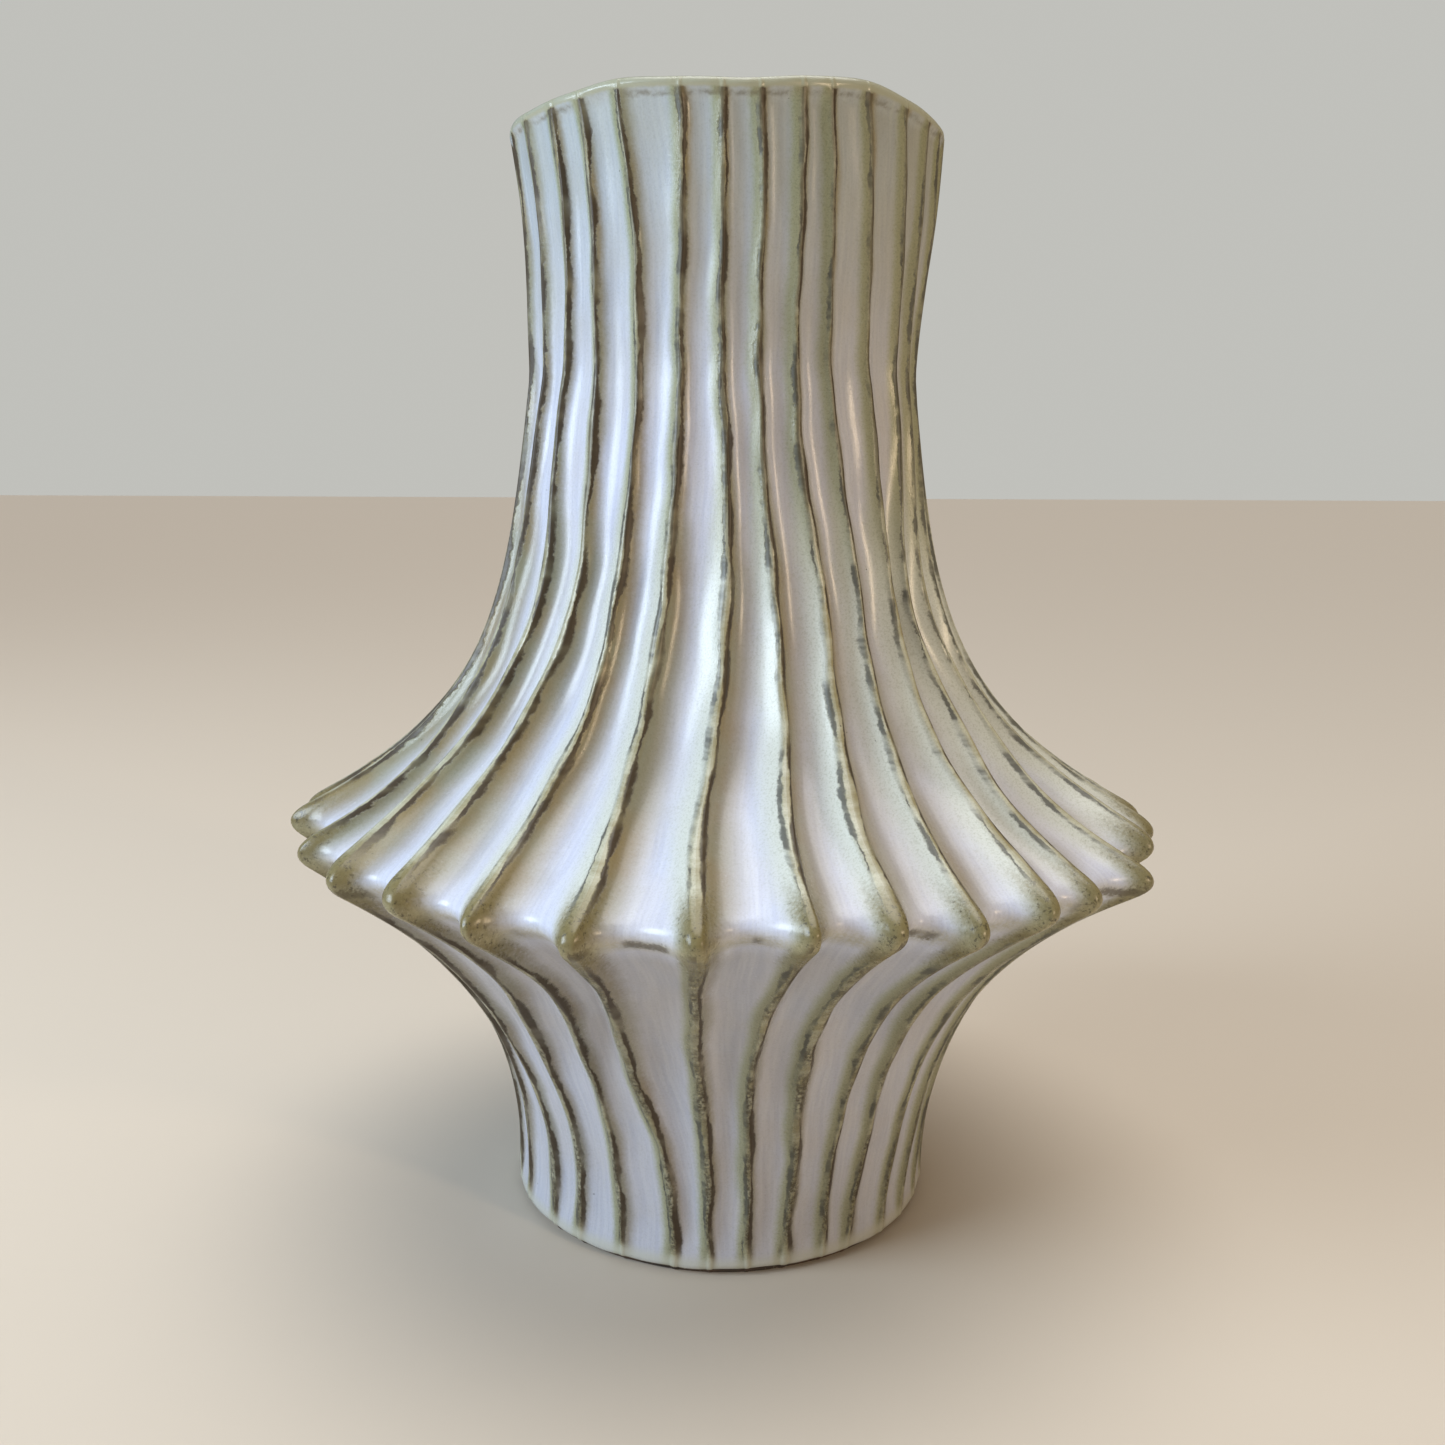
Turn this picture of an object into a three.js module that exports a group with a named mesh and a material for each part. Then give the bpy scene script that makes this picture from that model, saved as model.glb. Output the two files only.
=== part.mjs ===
// Stoneware vase: a flared neck on a sharp, scalloped waist and a foot that tapers in below it, carved all
// round with hand-cut flutes. Two thrown sections are luted together at the waist, the flutes are cut
// through both, and the fired pot carries a liner glaze inside and another outside, which laps the rim.
// Millimetres and degrees, +Z up, front along -Y, origin under the middle of the foot.
import * as THREE from "three";

// Overall shape, measured over the ridges
const HEIGHT = 300;
const WAIST_HEIGHT = 113; // middle of the blunt edge round the waist
const WAIST_RADIUS = 122;
const WAIST_EDGE = 5; // height of that edge
const NECK_BELOW_RIM = 55; // from the rim down to the narrowest place of the neck
const NECK_RADIUS = 54.5;
const RIM_RADIUS = 58.5;
const FOOT_RADIUS = 62;

// Flutes, as depths below the ridges
const NECK_FLUTE = 3;
const WAIST_FLUTE = 8.5;
const FOOT_FLUTE = 1.5;
const RIM_FLUTE = 1.2;

// Clay
const WALL = 6.5; // behind the flutes of the neck and the foot
const WAIST_WALL = 13.5; // behind the flutes of the waist
const RIM_WALL = 8;
const RIM_ROUND = 2.4; // height of the rounded rim
const FLOOR = 8;
const FLOOR_CORNER = 12; // radius inside, where the floor meets the wall
const FOOT_RECESS = 3; // trimmed out of the underside
const FOOT_RING = 10; // width of the ring that stands on the table
const FOOT_CHAMFER = 0.8;

// Luted joint at the waist: the bowl has a raised inner lip that the neck section sits around
const SEAM = 1.5; // clay to clay
const LIP_HEIGHT = 3;
const LIP_WIDTH = 7;

// Glaze
const GLAZE = 0.8;
const LINER = 0.8;
const GLAZE_LINE = 1.6; // bare clay below this height
const RIM_LAP = 8; // how far the outer glaze comes down inside the rim
const CLEARANCE = 0.3; // between any two pieces

// Levels that the ridges are placed at: -1 at the foot, 0 at the waist, 1 at the rim
const LEVELS = [-1, -0.73, -0.46, -0.15, 0, 0.2, 0.37, 0.66, 1];

// Angle of each ridge at those levels, from the front (0) towards +X. The carver's hand wanders.
const FRONT_RIDGES = [
  [-76, -76, -75, -74, -77, -77, -77, -78, -74],
  [-65, -64.5, -63, -62, -64, -64, -63.5, -62.5, -60.5],
  [-49.5, -50, -54.5, -49.5, -50.5, -52, -48.5, -48.5, -47.5],
  [-39.5, -39, -41, -35.5, -38, -39.5, -36, -36.5, -37],
  [-26, -27, -28, -25, -27.5, -26, -24.5, -24, -26],
  [-11.5, -13.5, -18, -16, -15.5, -14.5, -13, -12, -10.5],
  [-3, -3.5, -5, -3.5, -2.5, -1, 1.5, -0.5, -1],
  [6.5, 6, 5, 7.5, 9, 11.5, 12.5, 9, 8],
  [16, 17, 15.5, 16, 18.5, 21.5, 24, 19, 18],
  [26.5, 27, 27, 26.5, 28.5, 31.5, 33.5, 30, 25.5],
  [34, 37, 36, 35, 39, 42, 44.5, 43, 36],
  [46.5, 49.5, 50, 46, 48, 51.5, 51, 56, 49.5],
  [56.5, 60, 61, 57.5, 59, 62, 60, 67, 61.5],
  [67, 70, 70, 68, 69, 71, 70.5, 78, 72],
];
const BACK_RIDGES = 19; // round the rest of the pot, evenly spaced but for a small wander
const BACK_WANDER = 1.3;

// Corners of one flute from a ridge to the next: share of the way across, and share of the full depth.
// The tool bites steeply on the +X side of a ridge and runs out gently towards the next one.
const FLUTE_SECTION = [
  [0, 0],
  [0.3, 0.93],
  [0.68, 0.85],
];

// Heights of the rows of corners, as shares of the stretch that they divide, and the places of the rows on
// the two round corners, in degrees up from level
const CALF_ROWS = [0.25, 0.48, 0.66, 0.8, 0.92, 1];
const SHOULDER_ROWS = [0, 0.06, 0.15, 0.27, 0.44, 0.68, 1];
const FLARE_ROWS = [0.6];
const RIM_ROWS = [0, 50, 90];
const FLOOR_CORNER_ROWS = [0, 35, 70];

const EDGE_BOTTOM = WAIST_HEIGHT - WAIST_EDGE / 2;
const EDGE_TOP = WAIST_HEIGHT + WAIST_EDGE / 2;
const NECK_HEIGHT = HEIGHT - NECK_BELOW_RIM;
const CROWN_RADIUS = RIM_RADIUS - RIM_WALL / 2; // top of the rim
const LAP_HEIGHT = HEIGHT - RIM_LAP;
const FLOOR_TOP = FOOT_RECESS + FLOOR;

const radians = THREE.MathUtils.degToRad;
const mix = (a, b, t) => a + (b - a) * t;

// How the foot swells out to the waist (0 at the ground, 1 at the edge), and how the neck opens down to it
// (0 at the narrowest place, 1 at the edge).
const swell = (share) => share ** 2.55;
const sweep = (share) => 0.12 * share + 0.88 * share ** 3.9;
const flare = (share) => share ** 1.6;

// Radius at a height, from the radii at the foot, waist, neck and rim. It serves the ridges and the bore.
function radiusAt(z, foot, waist, neck, rim) {
  if (z <= EDGE_BOTTOM) return mix(foot, waist, swell(z / EDGE_BOTTOM));
  if (z <= EDGE_TOP) return waist;
  if (z <= NECK_HEIGHT) return mix(neck, waist, sweep((NECK_HEIGHT - z) / (NECK_HEIGHT - EDGE_TOP)));
  return mix(neck, rim, flare((z - NECK_HEIGHT) / NECK_BELOW_RIM));
}

const ridgeRadius = (z) => radiusAt(z, FOOT_RADIUS, WAIST_RADIUS, NECK_RADIUS, RIM_RADIUS);
const fluteDepth = (z) => radiusAt(z, FOOT_FLUTE, WAIST_FLUTE, NECK_FLUTE, RIM_FLUTE);
const boreRadius = (z) =>
  radiusAt(
    z,
    FOOT_RADIUS - FOOT_FLUTE - WALL,
    WAIST_RADIUS - WAIST_FLUTE - WAIST_WALL,
    NECK_RADIUS - NECK_FLUTE - WALL,
    RIM_RADIUS - RIM_WALL,
  );

const lapRadius = (z) => boreRadius(z) - CLEARANCE - GLAZE;

// Smooth curve through a ridge's angles
function angleAt(angles, level) {
  let i = 0;
  while (i < LEVELS.length - 2 && level > LEVELS[i + 1]) i++;
  const step = LEVELS[i + 1] - LEVELS[i];
  const slope = (a, b) => (angles[b] - angles[a]) / (LEVELS[b] - LEVELS[a]);
  const slopeIn = slope(Math.max(i - 1, 0), i + 1) * step;
  const slopeOut = slope(i, Math.min(i + 2, LEVELS.length - 1)) * step;
  const t = (level - LEVELS[i]) / step;
  const rise = angles[i + 1] - angles[i];
  return angles[i] + t * (slopeIn + t * (3 * rise - 2 * slopeIn - slopeOut + t * (slopeIn + slopeOut - 2 * rise)));
}

function backRidge(k) {
  const first = FRONT_RIDGES[0];
  const last = FRONT_RIDGES[FRONT_RIDGES.length - 1];
  return LEVELS.map(
    (level, i) =>
      mix(last[i], first[i] + 360, (k + 1) / (BACK_RIDGES + 1)) +
      BACK_WANDER * Math.sin(2.4 * k + 2.2 * level) * Math.sin((Math.PI * (k + 1)) / (BACK_RIDGES + 1)),
  );
}

const RIDGES = [...FRONT_RIDGES, ...Array.from({ length: BACK_RIDGES }, (_, k) => backRidge(k))];

// Angles of every corner round the pot at one height
function cornerAngles(z) {
  const level = z < WAIST_HEIGHT ? z / WAIST_HEIGHT - 1 : (z - WAIST_HEIGHT) / (HEIGHT - WAIST_HEIGHT);
  const here = RIDGES.map((angles) => angleAt(angles, level));
  return here.flatMap((angle, k) => {
    const next = k + 1 < here.length ? here[k + 1] : here[0] + 360;
    return FLUTE_SECTION.map(([share]) => mix(angle, next, share));
  });
}

const point = (radius, angle, z) => {
  const a = radians(angle);
  return new THREE.Vector3(radius * Math.sin(a), -radius * Math.cos(a), z);
};

// The bore is plain and round, with one corner for each flute
const BORE_ANGLES = RIDGES.map((_, k) => RIDGES[0][0] + (360 * k) / RIDGES.length);
const boreRing = (radius, z) => BORE_ANGLES.map((angle) => point(radius, angle, z));

const flutedRing = (z, radius, depth) =>
  cornerAngles(z).map((angle, c) => point(radius - depth * FLUTE_SECTION[c % FLUTE_SECTION.length][1], angle, z));

// A row on the rounded rim, at an angle up from level, between the crown and an edge
const rimRing = (angle, edgeRadius, depth) =>
  flutedRing(
    HEIGHT - RIM_ROUND * (1 - Math.sin(radians(angle))),
    mix(CROWN_RADIUS, edgeRadius, Math.cos(radians(angle))),
    depth * Math.cos(radians(angle)),
  );

// The surface of the outer glaze, from the glaze line up over the rim and down to the end of the lap
function outerSurface() {
  const heights = [
    GLAZE_LINE,
    ...CALF_ROWS.map((share) => mix(GLAZE_LINE, EDGE_BOTTOM, share)),
    ...SHOULDER_ROWS.map((share) => mix(EDGE_TOP, NECK_HEIGHT, share)),
    ...FLARE_ROWS.map((share) => mix(NECK_HEIGHT, HEIGHT, share)),
  ];
  return [
    ...heights.map((z) => flutedRing(z, ridgeRadius(z), fluteDepth(z))),
    ...RIM_ROWS.map((angle) => rimRing(angle, RIM_RADIUS, RIM_FLUTE)),
    ...RIM_ROWS.toReversed().slice(1).map((angle) => rimRing(angle, lapRadius(HEIGHT), 0)),
    flutedRing(LAP_HEIGHT, lapRadius(LAP_HEIGHT), 0),
  ];
}

// The same surface sunk into the pot. The first and the last row sink level.
function sunk(surface, distance) {
  return surface.map((row, r) =>
    row.map((corner, c) => {
      const along = new THREE.Vector3().subVectors(row[(c + 1) % row.length], row.at(c - 1));
      const below = surface[Math.max(r - 1, 0)][c];
      const above = surface[Math.min(r + 1, surface.length - 1)][c];
      const inward = new THREE.Vector3().subVectors(above, below).cross(along);
      if (r === 0 || r === surface.length - 1) inward.z = 0;
      return corner.clone().addScaledVector(inward.normalize(), distance);
    }),
  );
}

const glazeOuter = outerSurface();
const glazeInner = sunk(glazeOuter, GLAZE);
const clayOuter = sunk(glazeOuter, GLAZE + CLEARANCE);
const EDGE_ROW = CALF_ROWS.length; // the row along the bottom of the waist edge

// The clay's outer outline at a height inside the waist edge
function waistRing(z) {
  const share = (z - EDGE_BOTTOM) / WAIST_EDGE;
  return clayOuter[EDGE_ROW].map((corner, c) => corner.clone().lerp(clayOuter[EDGE_ROW + 1][c], share).setZ(z));
}

// Half of the luted joint from the outside in: along the outer shelf, up the lip and over it. offset is how
// far this face lies above the middle of the seam.
function jointRings(offset) {
  const bore = boreRadius(WAIST_HEIGHT);
  const z = WAIST_HEIGHT + offset;
  return [
    waistRing(z),
    boreRing(bore + LIP_WIDTH + offset, z),
    boreRing(bore + LIP_WIDTH + offset, z + LIP_HEIGHT),
    boreRing(bore, z + LIP_HEIGHT),
  ];
}

// Bore of the clay as [radius, height], from just under the lap down to a height above the waist
function boreAbove(bottom) {
  const neck = SHOULDER_ROWS.toReversed().map((share) => mix(EDGE_TOP, NECK_HEIGHT, share));
  return [LAP_HEIGHT - CLEARANCE, ...neck].filter((z) => z > bottom).map((z) => [boreRadius(z), z]);
}

// Bore of the clay from the waist down to the floor, which meets the wall in a round corner
function boreBelow() {
  const heights = CALF_ROWS.toReversed().map((share) => mix(GLAZE_LINE, EDGE_BOTTOM, share));
  const cornerTop = FLOOR_TOP + FLOOR_CORNER;
  const corner = FLOOR_CORNER_ROWS.toReversed().map((angle) => [
    boreRadius(cornerTop) - FLOOR_CORNER * (1 - Math.sin(radians(angle))),
    cornerTop - FLOOR_CORNER * Math.cos(radians(angle)),
  ]);
  return [...heights.filter((z) => z > cornerTop).map((z) => [boreRadius(z), z]), ...corner];
}

// Triangles between two rings of corners, numbered from their first corner on. Both rings may have their own
// number of corners. Faces that lie against each other are cut along the same diagonal, whichever way the
// rings are taken: from the lower ring's next corner.
function strip(ring, start, nextRing, nextStart) {
  const rising = ring[0].z <= nextRing[0].z;
  const corner = (i) => start + (i % ring.length);
  const nextCorner = (j) => nextStart + (j % nextRing.length);
  const triangles = [];
  let [i, j] = [0, 0];
  while (i < ring.length || j < nextRing.length) {
    const ahead = (i + 1) * nextRing.length - (j + 1) * ring.length;
    if (ahead < 0 || (ahead === 0 && rising)) {
      triangles.push([corner(i), corner(i + 1), nextCorner(j)]);
      i++;
    } else {
      triangles.push([corner(i), nextCorner(j + 1), nextCorner(j)]);
      j++;
    }
  }
  return triangles;
}

// A closed body from a loop of rings, or from rings that start and end at a point on the axis
function bodyOf(rings) {
  const corners = rings.flat();
  const closed = rings[0].length > 1;
  const triangles = [];
  for (let r = 0, start = 0; r < rings.length - (closed ? 0 : 1); r++) {
    const end = start + rings[r].length;
    const next = rings[(r + 1) % rings.length];
    triangles.push(...strip(rings[r], start, next, end % corners.length));
    start = end;
  }
  const whole = triangles.filter(([a, b, c]) => a !== b && b !== c && c !== a);
  const geometry = new THREE.BufferGeometry().setFromPoints(corners);
  geometry.setIndex(whole.flat());
  geometry.computeVertexNormals();
  return geometry;
}

// Bowl section: floor, trimmed foot ring and the wall up to the waist
function bowlSection() {
  const footEdge = (chamfer, z) =>
    clayOuter[0].map((corner) => {
      const radius = Math.hypot(corner.x, corner.y);
      return corner.clone().multiplyScalar((radius - chamfer) / radius).setZ(z);
    });
  const recess = FOOT_RADIUS - FOOT_FLUTE - FOOT_RING;
  return bodyOf([
    [new THREE.Vector3(0, 0, FOOT_RECESS)],
    boreRing(recess - FOOT_RECESS / 2, FOOT_RECESS),
    boreRing(recess, 0),
    footEdge(FOOT_CHAMFER, 0),
    footEdge(0, FOOT_CHAMFER),
    ...clayOuter.slice(0, EDGE_ROW + 1),
    ...jointRings(-SEAM / 2),
    ...boreBelow().map(([radius, z]) => boreRing(radius, z)),
    [new THREE.Vector3(0, 0, FLOOR_TOP)],
  ]);
}

// Neck section: shoulder, neck and rim
function neckSection() {
  return bodyOf([
    ...clayOuter.slice(EDGE_ROW + 1),
    ...boreAbove(WAIST_HEIGHT + SEAM / 2 + LIP_HEIGHT).map(([radius, z]) => boreRing(radius, z)),
    ...jointRings(SEAM / 2).toReversed(),
  ]);
}

// Fired slip that holds the two sections together
function lutingSlip() {
  const half = SEAM / 2 - CLEARANCE;
  return bodyOf([...jointRings(half), ...jointRings(-half).toReversed()]);
}

function outerGlaze() {
  return bodyOf([...glazeOuter, ...glazeInner.toReversed()]);
}

// Liner glaze: the bore's outline moved off the clay by the clearance, and again by its own thickness. It
// ends just under the lap of the outer glaze.
function linerGlaze() {
  const outline = [...boreAbove(WAIST_HEIGHT), ...boreBelow(), [0, FLOOR_TOP]];
  const corners = outline.map(([radius, z]) => new THREE.Vector2(radius, z));
  const offClay = corners.map((corner, i) => {
    const run = new THREE.Vector2().subVectors(corners[i + 1] ?? corner, corners[i - 1] ?? corner);
    if (i === 0) run.x = 0;
    if (i === corners.length - 1) run.y = 0;
    return new THREE.Vector2(run.y, -run.x).normalize();
  });
  const moved = (distance) => corners.map((corner, i) => corner.clone().addScaledVector(offClay[i], distance));
  const profile = [...moved(CLEARANCE).toReversed(), ...moved(CLEARANCE + LINER)];
  return new THREE.LatheGeometry(profile, BORE_ANGLES.length, radians(BORE_ANGLES[0])).rotateX(Math.PI / 2);
}

const piece = (name, geometry, color, roughness) => {
  const mesh = new THREE.Mesh(geometry, new THREE.MeshStandardMaterial({ color, roughness, metalness: 0 }));
  mesh.name = name;
  return mesh;
};

const vase = new THREE.Group();
vase.name = "vase";
vase.add(
  piece("bowl_section", bowlSection(), "#6b5a48", 0.9),
  piece("neck_section", neckSection(), "#6b5a48", 0.9),
  piece("luting_slip", lutingSlip(), "#5a4a3b", 0.95),
  piece("outer_glaze", outerGlaze(), "#c9c9b4", 0.35),
  piece("liner_glaze", linerGlaze(), "#dcdbd2", 0.3),
);

export default vase;
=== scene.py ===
# A stoneware vase: flared neck, wide scalloped waist and tapered foot, carved all round with wandering
# hand-cut flutes. The glaze lies milky white in the flutes, turns cream and olive on their flanks, and
# breaks to dark lines along the ridges. Sizes are in millimetres, and meshes are written in metres.
import math

import bpy
import numpy as np
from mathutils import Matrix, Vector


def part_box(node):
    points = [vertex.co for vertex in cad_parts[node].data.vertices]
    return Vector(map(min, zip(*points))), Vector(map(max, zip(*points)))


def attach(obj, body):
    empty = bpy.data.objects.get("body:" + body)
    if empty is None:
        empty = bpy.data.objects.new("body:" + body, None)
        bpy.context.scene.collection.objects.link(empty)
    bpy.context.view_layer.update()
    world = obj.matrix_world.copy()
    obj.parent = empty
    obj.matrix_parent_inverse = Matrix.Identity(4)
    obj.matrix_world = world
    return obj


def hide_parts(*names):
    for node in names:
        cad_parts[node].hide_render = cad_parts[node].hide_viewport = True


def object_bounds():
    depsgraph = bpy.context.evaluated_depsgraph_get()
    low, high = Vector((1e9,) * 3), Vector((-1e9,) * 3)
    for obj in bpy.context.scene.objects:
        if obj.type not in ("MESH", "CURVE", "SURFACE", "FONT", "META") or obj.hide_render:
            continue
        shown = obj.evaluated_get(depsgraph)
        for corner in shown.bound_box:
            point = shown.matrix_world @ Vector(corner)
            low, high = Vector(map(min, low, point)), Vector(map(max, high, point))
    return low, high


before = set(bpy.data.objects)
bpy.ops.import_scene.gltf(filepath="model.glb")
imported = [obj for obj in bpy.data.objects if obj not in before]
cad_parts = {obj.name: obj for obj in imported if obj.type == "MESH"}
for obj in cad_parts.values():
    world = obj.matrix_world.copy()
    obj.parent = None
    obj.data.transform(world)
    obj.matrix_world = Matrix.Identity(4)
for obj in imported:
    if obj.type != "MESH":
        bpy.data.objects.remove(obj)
cad_low, cad_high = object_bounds()

# ---------------------------------------------------------------------------------------- Bowl section
# The lower half of the pot: an open bowl thrown in dark gritty stoneware, turned over to trim its foot ring
# and recess. It carries the lower half of the flutes, and a low lip inside its edge centres the upper half.

MM = 0.001
bowl_top = (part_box("bowl_section")[1] / MM).z
neck_bottom = (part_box("neck_section")[0] / MM).z
glaze_line = (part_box("outer_glaze")[0] / MM).z
liner_bottom = (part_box("liner_glaze")[0] / MM).z

height = cad_high.z / MM
joint_lip = 3.0  # height of the lip that centres the upper half
joint_gap = neck_bottom - (bowl_top - joint_lip)  # clay to clay
waist_z = neck_bottom - joint_gap / 2
neck_z = height - 63.4  # where the neck is narrowest
blunt = 2.5  # how far below and above the waist the two curves reach its full radius
clearance = 0.3
glaze_sink = 1.0  # from the glazed surface to the glaze's inner face
clay_sink = glaze_sink + clearance

# Radii of the ridges, of the hollows between them and of the bore. The swelling foot and the spreading neck
# meet at the waist in an edge that is rounded over its last few millimetres.
ridge_form = {"foot": 62.0, "waist": 121.8, "neck": 54.1, "rim": 58.7, "rounding": 16.0}
hollow_form = {"foot": 60.2, "waist": 112.2, "neck": 51.4, "rim": 57.3, "rounding": 9.0}
bore_form = {"foot": 53.0, "waist": 98.6, "neck": 45.0, "rim": 50.5, "rounding": 8.0}


def outline(z, foot, waist, neck, rim, rounding):
    """Radius at each height: the foot's swell below the waist, the neck's sweep above it"""
    swell = foot + (waist - foot) * np.maximum(z / (waist_z - blunt), 0) ** 2.64
    down = np.maximum((neck_z - z) / (neck_z - waist_z - blunt), 0)
    rise = np.maximum((z - neck_z) / (height - neck_z), 0)
    sweep = neck + (waist - neck) * (0.21 * down + 0.79 * down**4.13) + (rim - neck) * rise**1.5
    nearness = np.maximum(rounding - np.abs(swell - sweep), 0)
    return np.minimum(swell, sweep) - nearness**2 / (4 * rounding)


def wander(count, periods, z, seed):
    """Smooth uneven lines of a hand's wobble along the height, each within about -1 to 1"""
    draw = np.random.default_rng(seed)
    lines = np.zeros((count, len(z)))
    for period in periods:
        pitch = period * draw.uniform(0.8, 1.25, (count, 1))
        phase = draw.uniform(0, 2 * math.pi, (count, 1))
        lines += np.sin(2 * math.pi * z / pitch + phase)
    return lines / len(periods) ** 0.5


def through(places, lines, z):
    """Smooth curves through the values that each line has at the places"""
    i = np.clip(np.searchsorted(places, z, side="right") - 1, 0, len(places) - 2)
    slope = np.gradient(lines, places, axis=1)
    step = places[i + 1] - places[i]
    t = np.clip((z - places[i]) / step, 0, 1)
    start = lines[:, i] * (1 + 2 * t) + slope[:, i] * step * t
    end = lines[:, i + 1] * (3 - 2 * t) - slope[:, i + 1] * step * (1 - t)
    return start * (1 - t) ** 2 + end * t**2


# Where the carver took each ridge: its angle from the front towards +X at these heights
course_heights = np.array([4.0, 28, 60, 95, 113, 130, 150, 180, 217, 250, 296])
front_courses = np.array([
    [-76, -76, -75, -74, -77, -77, -77, -77, -78, -78, -74],
    [-65, -64.5, -63, -62, -64, -62, -64, -63.5, -62.5, -61, -60.5],
    [-49.5, -50, -54.5, -49.5, -50.5, -53, -52, -48.5, -50, -47.5, -47.5],
    [-39.5, -39, -41, -35.5, -38, -40, -39.5, -36, -36, -36, -37],
    [-26, -27, -28, -25, -27.5, -27.5, -26, -24.5, -23, -23, -26],
    [-11.5, -13.5, -18, -16, -15.5, -15, -14.5, -13, -11, -11.5, -10.5],
    [-3, -3.5, -5, -3.5, -2.5, -3, -1, 1.5, 1, -1, -1],
    [6.5, 6, 5, 7.5, 9, 9, 11.5, 12.5, 10, 9, 8],
    [16, 17, 15.5, 16, 18.5, 19, 21.5, 24, 20, 19, 18],
    [26.5, 27, 27, 26.5, 28.5, 29.5, 31.5, 33.5, 31, 28.5, 25.5],
    [34, 37, 36, 35, 39, 40.5, 42, 44.5, 44, 42, 36],
    [46.5, 49.5, 50, 46, 48, 48, 51.5, 51, 56, 56, 49.5],
    [56.5, 60, 61, 58, 60, 60, 62, 60, 66, 65, 61.5],
    [67, 70, 70, 68, 67, 70, 70, 70.5, 76, 78, 72],
])
back_count = 19
flute_count = len(front_courses) + back_count

# Half the width of the uncut strip on a ridge, in millimetres at these heights
land_heights = np.array([0.0, 60, 92, 104, 111, 118, 135, 165, 245, 300])
land_halves = np.array([0.9, 1.1, 1.2, 1.5, 1.8, 1.6, 1.3, 1.05, 0.55, 0.6])

# How far each ridge's nose at the waist stands above or below the rest, and how far out beyond them
lifts = np.concatenate([
    [3, 1, 0.7, 1.5, -0.5, -0.7, 0.6, 2, 0.4, -2.2, -1, -1.9, -3, 2],
    np.random.default_rng(6).uniform(-2, 2, back_count),
])
beaks = np.random.default_rng(9).uniform(-0.8, 0.8, flute_count)
beaks[12] = 3.2

# The pot leans a little one way and the other, in millimetres towards +X at these heights
lean_heights = np.array([0.0, 40, 80, 112, 150, 200, 245, 280, 300])
leans = np.array([[-0.1, 0.9, 0.45, 0, -0.6, -0.6, -0.1, 0.9, 0.2]])

# Corners across a flute: on the land, then shares of the hollow, then on the next land
land_steps = [0.0, 0.6, 1.0]
hollow_steps = np.array([0.05, 0.13, 0.25, 0.38, 0.52, 0.66, 0.79, 0.89, 0.96])
steps = 2 * len(land_steps) + len(hollow_steps) - 1
columns = flute_count * steps


def ridge_angles(z):
    """Angle of every ridge at each height, with the first ridge once more at the end"""
    front = through(course_heights, front_courses, z)
    share = (np.arange(back_count)[:, None] + 1) / (back_count + 1)
    drift = 1.4 * wander(back_count, [420, 170, 90], z, 5) * np.sin(math.pi * share) ** 0.5
    back = front[-1] + share * (front[0] + 360 - front[-1]) + drift
    return np.vstack([front, back, front[:1] + 360])


def carve(z):
    """Every corner round the carved pot at each height: angle, radius, how far it is from the ridges on
    either side, and its height less the lift of the noses. Each array is (height, flute, step across), and
    the last step of a flute is the first of the next."""
    girth = outline(z, **ridge_form)
    angle = np.radians(ridge_angles(z))
    again = np.arange(flute_count + 1) % flute_count
    angle += 0.22 * wander(flute_count, [61, 31, 17], z, 11)[again] / girth
    uneven = np.random.default_rng(3).uniform(0.75, 1.3, (flute_count, 1))
    half = np.interp(z, land_heights, land_halves) * uneven
    half = (half * (1 + 0.2 * wander(flute_count, [60, 21], z, 12)))[again]
    width = np.diff(angle, axis=0) * girth
    left, right = np.minimum(half[:-1], 0.2 * width), np.minimum(half[1:], 0.2 * width)
    reach = np.stack(
        [left * part for part in land_steps]
        + [left + part * (width - left - right) for part in hollow_steps]
        + [width - right * part for part in land_steps[::-1]],
        axis=-1,
    )
    from_left, from_right = reach - left[..., None], (width - right)[..., None] - reach
    share = np.clip(from_left / (from_left + from_right), 0, 1)
    bowl = 1 - np.abs(2 * share**0.8 - 1) ** 2.2

    def mixed(values):
        """Values of the ridges on either side, mixed by place across the flute"""
        near, far = values[again][:-1, None, None], values[again][1:, None, None]
        return near * (1 - share) + far * share

    level = z[:, None] - mixed(lifts) * np.exp(-(((z - waist_z) / 25) ** 2))[:, None]
    ridge = outline(level, **ridge_form)
    ridge += mixed(beaks) * (1 - bowl) * np.exp(-(((level - waist_z) / 9) ** 2))
    ending = height - 3.6 + 0.7 * np.random.default_rng(8).uniform(-1, 1, (flute_count, 1))
    start = np.clip((z - glaze_line) / 12, 0, 1)
    depth = (1 + 0.13 * wander(flute_count, [110, 37], z, 13)) * (0.15 + 0.85 * start**2 * (3 - 2 * start))
    depth *= 1 - np.clip((z - ending + 1.4) / 2.8, 0, 1) ** 2
    depth = depth[..., None] * (ridge - outline(level, **hollow_form))
    on_left = np.clip(-from_left / left[..., None], 0, 1)
    on_right = np.clip(-from_right / right[..., None], 0, 1)
    shoulder = 0.3 * (left[..., None] * (1 - share) + right[..., None] * share)
    crown = 1 - (1 - np.maximum(on_left, on_right)) ** 2
    drop = shoulder * (1 - crown) * (1 - bowl) + bowl * depth
    turn = angle[:-1, :, None] + reach / girth[:, None]
    skew = 0.25 * np.sin(3 * turn + z[:, None] / 31) + 0.18 * np.sin(7 * turn - z[:, None] / 17 + 2)
    order = (1, 0, 2)
    radius = ridge - drop + skew - 0.2
    return [np.transpose(part, order) for part in (turn, radius, from_left, from_right, level)]


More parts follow.
